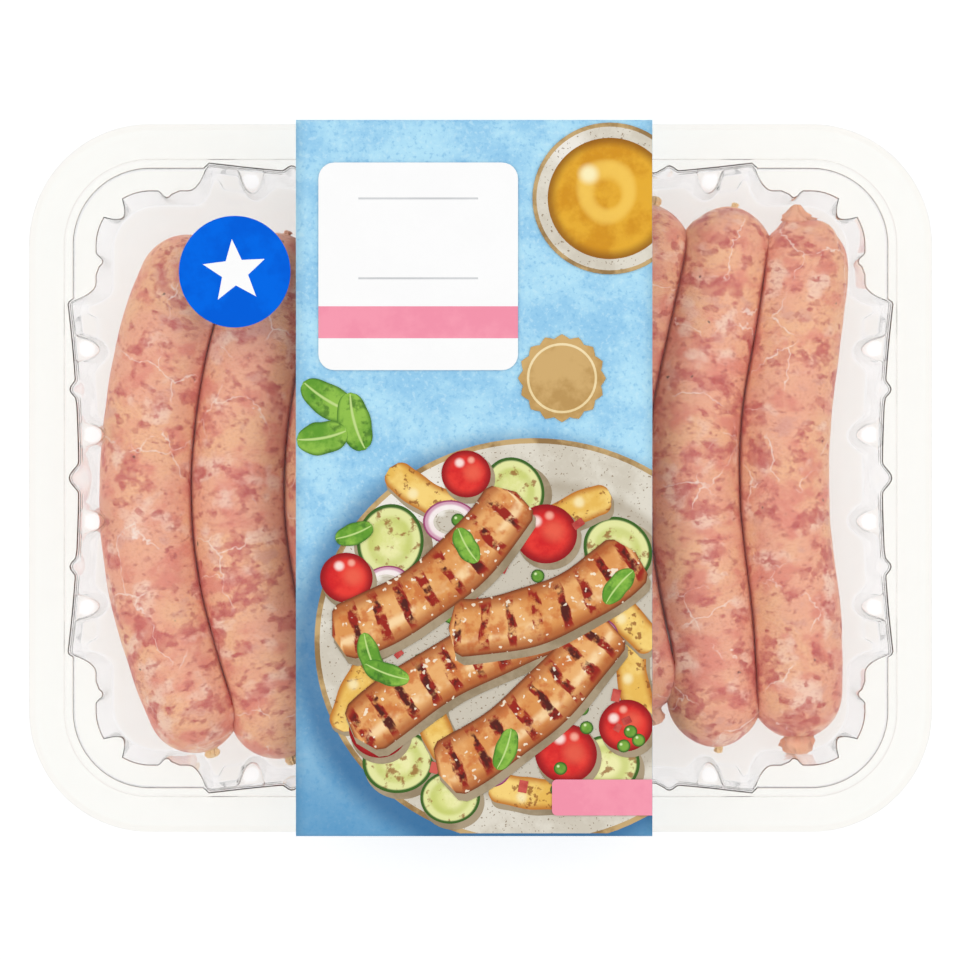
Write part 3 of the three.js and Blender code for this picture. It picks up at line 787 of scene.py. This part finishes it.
# The printed ground: light blue, clouded like painted plaster, deeper towards the foot of the panel,
# with the soft shadow of the plate drawn in it.
PLATE = (15.0, -41.0, 55.0, 51.0)  # middle and half sizes, from the middle of the sleeve
blue_ground, tree, shader, coords, grain = board("printed_blue", 0.4, 0.15)
ground = Paint(tree)
ground.start((150, 206, 240), (180, 228, 250), ground.mask(grain.outputs["Cloud"], 0.36, 0.64))
fleck = add_node(tree, "TexNoise", {"Vector": coords.outputs["Object"], "Scale": 700.0,
                 "Detail": 3.0, "Roughness": 0.7})
ground.lay((118, 184, 228), fleck.outputs["Fac"], 0.53, 0.68, 0.5)
ground.lay((206, 240, 254), fleck.outputs["Fac"], 0.46, 0.34, 0.4)
along = add_node(tree, "SeparateXYZ", {"Vector": coords.outputs["Object"]})
ground.lay((70, 140, 190), along.outputs["Y"], -0.03, -0.095, 0.8)
centred = add_node(tree, "Mapping", {"Vector": coords.outputs["Object"],
                   "Location": ((SLEEVE_MIDDLE + PLATE[0] - 3) * MM, (PLATE[1] - 2) * MM, 0),
                   "Scale": (PLATE[2] * MM, PLATE[3] * MM, 1)}, vector_type="TEXTURE")
ground.lay((38, 96, 146), flat_length(tree, centred.outputs["Vector"]), 1.12, 0.98, 0.75)
tree.links.new(ground.colour, shader.inputs["Base Color"])

bare_board, tree, shader, coords, grain = board("bare_board", 0.75, 0.2)
pulp = mix(tree, srgb(236, 233, 224), srgb(246, 244, 238), grain.outputs["Cloud"])
tree.links.new(pulp, shader.inputs["Base Color"])

path = folded_path(FOLDS, 0.8, 4.0)
bm = bmesh.new()
bmesh.ops.create_grid(bm, x_segments=24, y_segments=len(path) - 1, size=0.5)
for v in bm.verts:
    y, z = path[round((v.co.y + 0.5) * (len(path) - 1))]
    x = SLEEVE_MIDDLE + v.co.x * (SLEEVE_RIGHT - SLEEVE_LEFT)
    v.co = Vector((x, y, z))
bm.normal_update()
on_top = max(bm.faces, key=lambda face: face.calc_center_median().z)
if on_top.normal.z < 0:
    bmesh.ops.reverse_faces(bm, faces=bm.faces)
sleeve = finish_mesh(bm, "card_sleeve", [blue_ground, bare_board, bare_board])
card = thicken(sleeve, "card_thickness", CARD, 0)
card.material_offset = 1
card.material_offset_rim = 1
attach(sleeve, "root")
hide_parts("sleeve")

# ------------------------------------------------------------------------------------------- print
# The picture on the sleeve, in fields of ink: a bare white panel with a pink band, a gold seal, a
# ribbon, and a plate of grilled sausages, potatoes and vegetables with a bowl of mustard. Each field is
# a thin film of ink on the board, and its "ink" attribute holds a point's own place in the field.

INK_STEP = 0.004  # each field lies this much above the one before
INK_DEPTH = 0.03
random.seed(11)
inks = {}


class Ink(Paint):
    """A printed ink, with the masks that its colours are laid down by."""

    def __init__(self, key, dark, light, roughness=0.4):
        self.material, tree, self.shader, self.coords, grain = board(f"ink_{key}", roughness, 0.15)
        super().__init__(tree)
        self.key = key
        self.start(dark, light, self.mask(grain.outputs["Cloud"], 0.4, 0.6))
        self.place = attribute(tree, "ink", "Vector")
        self.across = add_node(tree, "SeparateXYZ", {"Vector": self.place}).outputs["X"]
        self.rim = self.away(0, 0)

    def away(self, x, y):
        """How far a point is from a place in the field."""
        moved = add_node(self.tree, "VectorMath", {0: self.place, 1: (-x, -y, 0)}, operation="ADD")
        return flat_length(self.tree, moved.outputs["Vector"])

    def off_middle(self):
        """How far a point is from the field's long middle line."""
        return add_node(self.tree, "Math", {0: self.across}, operation="ABSOLUTE").outputs["Value"]

    def noise(self, scale, detail=3.0):
        """Noise over the board."""
        return add_node(self.tree, "TexNoise", {"Vector": self.coords.outputs["Object"],
                        "Scale": scale, "Detail": detail, "Roughness": 0.6}).outputs["Fac"]

    def keep(self):
        """Ends the ink's colour at its shader."""
        self.tree.links.new(self.colour, self.shader.inputs["Base Color"])
        inks[self.key] = self.material


for key, dark, light in (
        ("white", (254, 254, 254), (255, 255, 255)), ("pink", (246, 148, 172), (250, 156, 178)),
        ("gold", (190, 150, 88), (212, 174, 112)), ("pale_gold", (238, 214, 160), (246, 226, 180)),
        ("rim_brown", (150, 118, 74), (202, 170, 118)), ("rule", (206, 208, 210), (214, 216, 218)),
        ("shade", (150, 132, 104), (172, 154, 126)), ("bacon", (176, 52, 50), (214, 96, 84))):
    Ink(key, dark, light).keep()

ink = Ink("plate", (210, 202, 186), (226, 220, 206))
ink.lay((170, 156, 134), ink.rim, 0.85, 0.79, 0.6)
ink.lay((206, 198, 182), ink.rim, 0.79, 0.7)
ink.lay((244, 240, 232), ink.away(-0.55, 0.68), 0.4, 0.1, 0.8)
ink.lay((132, 108, 78), ink.noise(1500.0, 1.0), 0.66, 0.71, 0.8)
ink.keep()

ink = Ink("grilled", (224, 152, 84), (238, 178, 112), 0.34)
side = ink.off_middle()
ink.lay((206, 112, 54), ink.noise(230.0), 0.48, 0.64, 0.8)
ink.lay((170, 84, 38), side, 0.45, 0.85, 0.8)
ink.lay((112, 52, 24), side, 0.84, 1.0, 0.85)
gleam = ink.both(ink.mask(ink.across, -0.6, -0.38), ink.mask(ink.across, -0.08, -0.3))
ink.lay_masked((255, 222, 170), ink.both(gleam, ink.mask(ink.noise(150.0), 0.4, 0.6, 0, 0.9)))
slant = add_node(ink.tree, "Mapping", {"Vector": ink.place, "Rotation": (0, 0, 0.35),
                 "Scale": (0.1, 0.36, 1)})
bars = add_node(ink.tree, "TexWave", {"Vector": slant.outputs["Vector"], "Scale": 1.0, "Distortion": 1.6,
                "Detail": 3.0, "Detail Scale": 14.0}, bands_direction="Y").outputs["Fac"]
for colour, bar, scale, patch, edge in (((156, 34, 20), (0.6, 0.82), 300.0, (0.4, 0.54), (1.0, 0.7)),
                                        ((84, 26, 18), (0.78, 0.95), 260.0, (0.46, 0.58), (0.8, 0.5))):
    char = ink.both(ink.mask(bars, *bar), ink.mask(ink.noise(scale), *patch))
    ink.lay_masked(colour, ink.both(char, ink.mask(side, *edge)))
ink.lay((255, 244, 220), ink.noise(620.0, 1.0), 0.67, 0.73, 0.8)
ink.keep()

ink = Ink("tomato", (214, 28, 32), (236, 58, 48), 0.3)
ink.lay((150, 10, 20), ink.rim, 0.6, 1.0)
ink.lay((244, 112, 84), ink.away(0.25, 0.1), 0.55, 0.1, 0.6)
ink.lay((255, 226, 218), ink.away(-0.34, 0.42), 0.26, 0.08)
ink.lay((250, 170, 150), ink.away(0.1, 0.62), 0.2, 0.05)
ink.keep()

ink = Ink("pea", (92, 148, 46), (128, 176, 66), 0.3)
ink.lay((46, 92, 26), ink.rim, 0.55, 1.0)
ink.lay((222, 240, 180), ink.away(-0.3, 0.36), 0.3, 0.08)
ink.keep()

ink = Ink("marrow", (222, 226, 140), (242, 240, 176))
ink.lay((190, 200, 96), ink.rim, 0.3, 0.56, 0.6)
ink.lay((236, 238, 170), ink.rim, 0.6, 0.76, 0.8)
ink.lay((150, 84, 34), ink.noise(330.0), 0.56, 0.66, 0.8)
ink.lay((58, 100, 32), ink.rim, 0.86, 0.93)
ink.keep()

ink = Ink("potato", (236, 188, 88), (250, 214, 124))
side = ink.off_middle()
ink.lay((196, 122, 44), side, 0.5, 1.0)
ink.lay((146, 80, 30), ink.noise(460.0), 0.58, 0.66, 0.8)
ink.lay((255, 240, 190), ink.away(-0.3, 0.5), 0.5, 0.1, 0.8)
ink.keep()

ink = Ink("onion", (246, 232, 230), (252, 244, 242))
ink.lay((214, 164, 186), ink.rim, 0.74, 0.86)
ink.lay((158, 64, 110), ink.rim, 0.9, 0.96)
ink.keep()

ink = Ink("leaf", (96, 156, 44), (146, 194, 74))
side = ink.off_middle()
ink.lay((52, 104, 30), ink.noise(300.0), 0.52, 0.66, 0.7)
ink.lay((60, 112, 34), side, 0.75, 1.0, 0.8)
ink.lay((196, 222, 138), side, 0.12, 0.03)
ink.keep()

ink = Ink("mustard", (214, 148, 24), (232, 174, 46), 0.3)
swirl = add_node(ink.tree, "TexWave", {"Vector": ink.place, "Scale": 0.42, "Distortion": 5.0,
                 "Detail": 1.0}, wave_type="RINGS", rings_direction="Z")
ink.lay((250, 206, 92), swirl.outputs["Fac"], 0.5, 1.0, 0.8)
ink.lay((140, 84, 12), ink.rim, 0.8, 1.0, 0.85)
ink.lay((255, 242, 190), ink.away(-0.34, 0.4), 0.22, 0.05)
ink.keep()

INK_NAMES = list(inks)
bm = bmesh.new()
ink_layer = bm.verts.layers.float_vector.new("ink")
fields_laid = 0


def set_down(verts, key, x, y, angle=0.0):
    """Turns a field drawn round the origin, puts it in its place on the top panel and inks it."""
    global fields_laid
    fields_laid += 1
    seed = random.uniform(0, 50)
    for v in verts:
        v[ink_layer].z = seed
    turn = Matrix.Rotation(math.radians(angle), 4, "Z")
    place = Matrix.Translation((SLEEVE_MIDDLE + x, y, SLEEVE_TOP + INK_STEP * fields_laid))
    bmesh.ops.transform(bm, matrix=place @ turn, verts=verts)
    for face in {face for v in verts for face in v.link_faces}:
        face.material_index = INK_NAMES.index(key)


def disc(key, x, y, half_x, half_y, angle=0.0, segments=48, scallop=0.0):
    """A round or oval field, with a scalloped edge where wanted."""
    verts = bmesh.ops.create_circle(bm, cap_ends=True, radius=1, segments=segments)["verts"]
    for k, v in enumerate(verts):
        v[ink_layer] = v.co
        swell = 1 + scallop * math.cos(k * math.pi / 2)
        v.co = Vector((v.co.x * half_x * swell, v.co.y * half_y * swell, 0))
    set_down(verts, key, x, y, angle)


def strip(key, x, y, length, width, angle=0.0, bend=0.0, point=0.12):
    """A long field with rounded or pointed ends, bent to an arc where wanted."""
    verts = bmesh.ops.create_grid(bm, x_segments=6, y_segments=32, size=1)["verts"]
    for v in verts:
        across, along = v.co.x, v.co.y
        v[ink_layer] = Vector((across, along * length / width, 0))
        end = max(0.0, (abs(along) - (1 - point)) / point)
        half = width / 2 * math.sqrt(max(0.0, 1 - end ** 2)) * (1 + 0.035 * math.sin(along * 7 + x))
        turn = math.radians(bend) * along
        spine = Vector((0, along * length / 2))
        if bend:
            radius = length / 2 / math.radians(bend)
            spine = Vector((radius - radius * math.cos(turn), radius * math.sin(turn)))
        out = across * half
        v.co = Vector((spine.x + out * math.cos(turn), spine.y - out * math.sin(turn), 0))
    bmesh.ops.dissolve_degenerate(bm, dist=1e-5, edges=list({e for v in verts for e in v.link_edges}))
    set_down([v for v in verts if v.is_valid], key, x, y, angle)


def panel(key, x, y, width, height, radius, angle=0.0):
    """A rectangle with rounded corners."""
    verts = bmesh.ops.create_grid(bm, x_segments=1, y_segments=1, size=0.5)["verts"]
    for v in verts:
        v.co = Vector((v.co.x * width, v.co.y * height, 0))
    face = verts[0].link_faces[0]
    if radius:
        bmesh.ops.bevel(bm, geom=verts, offset=radius, segments=6, profile=0.5, affect="VERTICES",
                        material=-1)
        face = next(f for f in bm.faces if f.is_valid and f.calc_center_median().length < 1e-4)
    verts = list(face.verts)
    for v in verts:
        v[ink_layer] = Vector((2 * v.co.x / width, 2 * v.co.y / height, 0))
    set_down(verts, key, x, y, angle)


disc("rim_brown", *PLATE, segments=96)
disc("plate", PLATE[0], PLATE[1], PLATE[2] - 1.3, PLATE[3] - 1.3, segments=96)
for x, y, half in ((-21, -16, 9.5), (-27, -37, 8.6), (36, -18, 9.0), (33, -72, 8.6), (-19, -71, 9.0),
                   (10, -3, 8.4), (-6, -80, 7.5)):
    disc("shade", x + 0.8, y - 1.2, half * 1.04, half * 0.92)
    disc("marrow", x, y, half, half * 0.88, random.uniform(0, 180))
for x, y, length, angle in ((-13, -4, 21, 58), (25, -8, 20, -64), (40, -52, 21, 12), (-30, -54, 20, -24),
                            (14, -79, 21, 84), (39, -36, 18, 40), (-10, -62, 18, 20)):
    strip("shade", x + 0.6, y - 1.1, length, 8.4, angle, 14, 0.3)
    strip("potato", x, y, length, 7.8, angle, 14, 0.3)
for x, y, half in ((-6, -11, 6.8), (31, -41, 6.0), (-22, -27, 6.2), (3, -72, 6.4)):
    disc("onion", x, y, half, half * 0.8, random.uniform(0, 180))
    disc("plate", x, y, half * 0.62, half * 0.46)
for x, y, half in ((-24, -63, 7.4), (18, -14, 7.8), (23, -69, 7.8), (-32, -25, 6.6), (38, -62, 6.8),
                   (-2, 1, 6.2)):
    disc("shade", x + 0.8, y - 1.2, half * 1.04, half)
    disc("tomato", x, y, half, half * 0.95, random.uniform(-20, 20))
for k in range(26):
    x, y = random.uniform(-34, 42), random.uniform(-84, 2)
    if math.hypot((x - PLATE[0]) / 44, (y - PLATE[1]) / 41) < 1:
        disc("pea", x, y, 1.7, 1.65, random.uniform(-20, 20), 20)
for k in range(22):
    x, y = random.uniform(-34, 42), random.uniform(-84, 0)
    if math.hypot((x - PLATE[0]) / 43, (y - PLATE[1]) / 40) < 1:
        panel("bacon", x, y, random.uniform(2.0, 3.6), random.uniform(1.4, 2.2), 0, random.uniform(0, 90))
for x, y, length, angle, bend in ((-9, -26, 60, 128, 22), (-3, -46, 66, 118, -14), (15, -58, 58, 132, 16),
                                  (19, -33, 52, 112, 24)):
    strip("shade", x + 0.5, y - 1.6, length, 15.4, angle, bend, 0.14)
    strip("grilled", x, y, length, 14.6, angle, bend, 0.14)
for x, y, length, angle in ((-26, -45, 13, 20), (-22, -49, 12, 70), (36, -27, 11, -40), (-30, -14, 10, 110),
                            (8, -68, 11, 160), (-2, -17, 10, 30)):
    strip("leaf", x, y, length, 5.4, angle, 12, 0.9)
disc("rim_brown", 34, 70, 19.4, 19.0, segments=64)
disc("plate", 34, 70, 18.4, 18.0, segments=64)
disc("mustard", 34, 70, 15.6, 15.2, segments=64)
for x, y, length, angle in ((-36, 19, 17, 60), (-30, 14, 15, 15), (-38, 10, 13, 100)):
    strip("leaf", x, y, length, 8.2, angle, 14, 0.9)
panel("white", -14, 53, 50, 52, 4)
panel("pink", -14, 39, 50, 8, 0)
panel("rule", -14, 70, 30, 0.5, 0)
panel("rule", -14, 50, 30, 0.5, 0)
disc("gold", 22, 25, 10.5, 10.5, segments=64, scallop=0.05)
disc("pale_gold", 22, 25, 8.8, 8.8)
disc("gold", 22, 25, 8.2, 8.2)
panel("pink", 32.5, -80, 26, 9, 1.2)
for face in bm.faces:
    if face.normal.z < 0:
        face.normal_flip()
# The picture ends just inside the board's sides and its front fold.
for place, inwards in (((SLEEVE_LEFT + 0.05, 0, 0), (1, 0, 0)), ((SLEEVE_RIGHT - 0.05, 0, 0), (-1, 0, 0)),
                       ((0, -89.0, 0), (0, 1, 0))):
    bmesh.ops.bisect_plane(bm, geom=bm.verts[:] + bm.edges[:] + bm.faces[:], plane_co=place,
                           plane_no=inwards, clear_inner=True)
picture = finish_mesh(bm, "sleeve_print", [inks[key] for key in INK_NAMES])
picture.data.shade_flat()
thicken(picture, "ink_thickness", INK_DEPTH, -1)
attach(picture, "root")

# ----------------------------------------------------------------------------------------- sticker
# A round label of blue paper, die cut and stuck on the film, with a plain white star.

sticker_low, sticker_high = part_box("sticker")
LABEL_X = (sticker_low[0] + sticker_high[0]) / 2 / MM
LABEL_Y = (sticker_low[1] + sticker_high[1]) / 2 / MM
LABEL_RADIUS = (sticker_high[0] - sticker_low[0]) / 2 / MM
label_blue, tree, shader, coords, grain = board("label_blue", 0.5, 0.03)
blue = Paint(tree)
blue.start((0, 96, 222), (0, 106, 234), blue.mask(grain.outputs["Cloud"], 0.4, 0.6))
tree.links.new(blue.colour, shader.inputs["Base Color"])
bm = bmesh.new()
bmesh.ops.create_circle(bm, cap_ends=True, radius=LABEL_RADIUS, segments=96)
bmesh.ops.inset_region(bm, faces=bm.faces[:], thickness=0.5)
bmesh.ops.translate(bm, verts=bm.verts, vec=(LABEL_X, LABEL_Y, sticker_high[2] / MM))
label = finish_mesh(bm, "round_label", [label_blue])
label.data.shade_flat()
thicken(label, "label_thickness", (sticker_high[2] - sticker_low[2]) / MM, -1)
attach(label, "root")
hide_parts("sticker")

bm = bmesh.new()
STAR_RADIUS, STAR_NOTCH = 8.2, 0.42
tips = bmesh.ops.create_circle(bm, cap_ends=True, radius=STAR_RADIUS, segments=10)["verts"]
for v in tips[1::2]:
    v.co *= STAR_NOTCH
bmesh.ops.rotate(bm, verts=bm.verts, matrix=Matrix.Rotation(math.radians(5), 3, "Z"))
bmesh.ops.translate(bm, verts=bm.verts, vec=(LABEL_X, LABEL_Y, sticker_high[2] / MM + 0.01))
star = finish_mesh(bm, "label_star", [inks["white"]])
star.data.shade_flat()
thicken(star, "ink_thickness", INK_DEPTH, -1)
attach(star, "root")

# ------------------------------------------------------------------------------------------ studio
# A pale floor under the pack, a surround that is brightest overhead, as under a wide soft lamp, and two
# broad lights from the sides.

bm = bmesh.new()
bmesh.ops.create_grid(bm, x_segments=1, y_segments=1, size=3000)
floor_paint = bpy.data.materials.new("pale_floor")
floor_paint.use_nodes = True
floor_shader = floor_paint.node_tree.nodes["Principled BSDF"]
for socket, value in (("Base Color", (0.35, 0.35, 0.35, 1)), ("Emission Color", (1, 1, 1, 1)),
                      ("Emission Strength", 0.74), ("Roughness", 0.9), ("Specular IOR Level", 0.0)):
    floor_shader.inputs[socket].default_value = value
floor = finish_mesh(bm, "floor", [floor_paint])

world = bpy.data.worlds.new("studio")
bpy.context.scene.world = world
world.use_nodes = True
world.cycles.sampling_method = "NONE"
sky = world.node_tree
view = add_node(sky, "TexCoord")
height = add_node(sky, "SeparateXYZ", {"Vector": view.outputs["Generated"]})
bands = add_node(sky, "ValToRGB", {"Fac": height.outputs["Z"]})
# Dimmest at the horizon; the ramp's own two ends, then the bands between them.
for element, value in zip(bands.color_ramp.elements, (0.7, 1.7)):
    element.color = (value, value, value, 1)
for position, value in ((0.6, 0.7), (0.8, 1.4), (0.9, 1.7)):
    bands.color_ramp.elements.new(position).color = (value, value, value, 1)
sky.links.new(bands.outputs["Color"], sky.nodes["Background"].inputs["Color"])
sky.nodes["Background"].inputs["Strength"].default_value = 0.76

for name, place, power in (("left_softbox", (-0.75, 0.3, 0.8), 1.1),
                           ("right_softbox", (0.75, 0.1, 0.8), 1.2)):
    data = bpy.data.lights.new(name, "AREA")
    data.shape = "SQUARE"
    data.size = 0.9
    data.energy = power
    lamp = bpy.data.objects.new(name, data)
    lamp.location = place
    lamp.rotation_euler = (Vector((0, 0, 0.02)) - Vector(place)).to_track_quat("-Z", "Y").to_euler()
    bpy.context.scene.collection.objects.link(lamp)

scene = bpy.context.scene
camera_data = bpy.data.cameras.new("photo_view")
camera_data.sensor_width = 36
camera_data.lens = 164.5
camera_data.clip_start = 0.05
camera = bpy.data.objects.new("photo_view", camera_data)
camera.location = (-0.00013, -0.0005, FLANGE_TOP * MM + 1.1)
scene.collection.objects.link(camera)
scene.camera = camera
scene.view_settings.view_transform = "Standard"
for limit, value in (("max_bounces", 7), ("transmission_bounces", 6), ("diffuse_bounces", 2),
                     ("glossy_bounces", 2), ("adaptive_threshold", 0.06)):
    setattr(scene.cycles, limit, value)
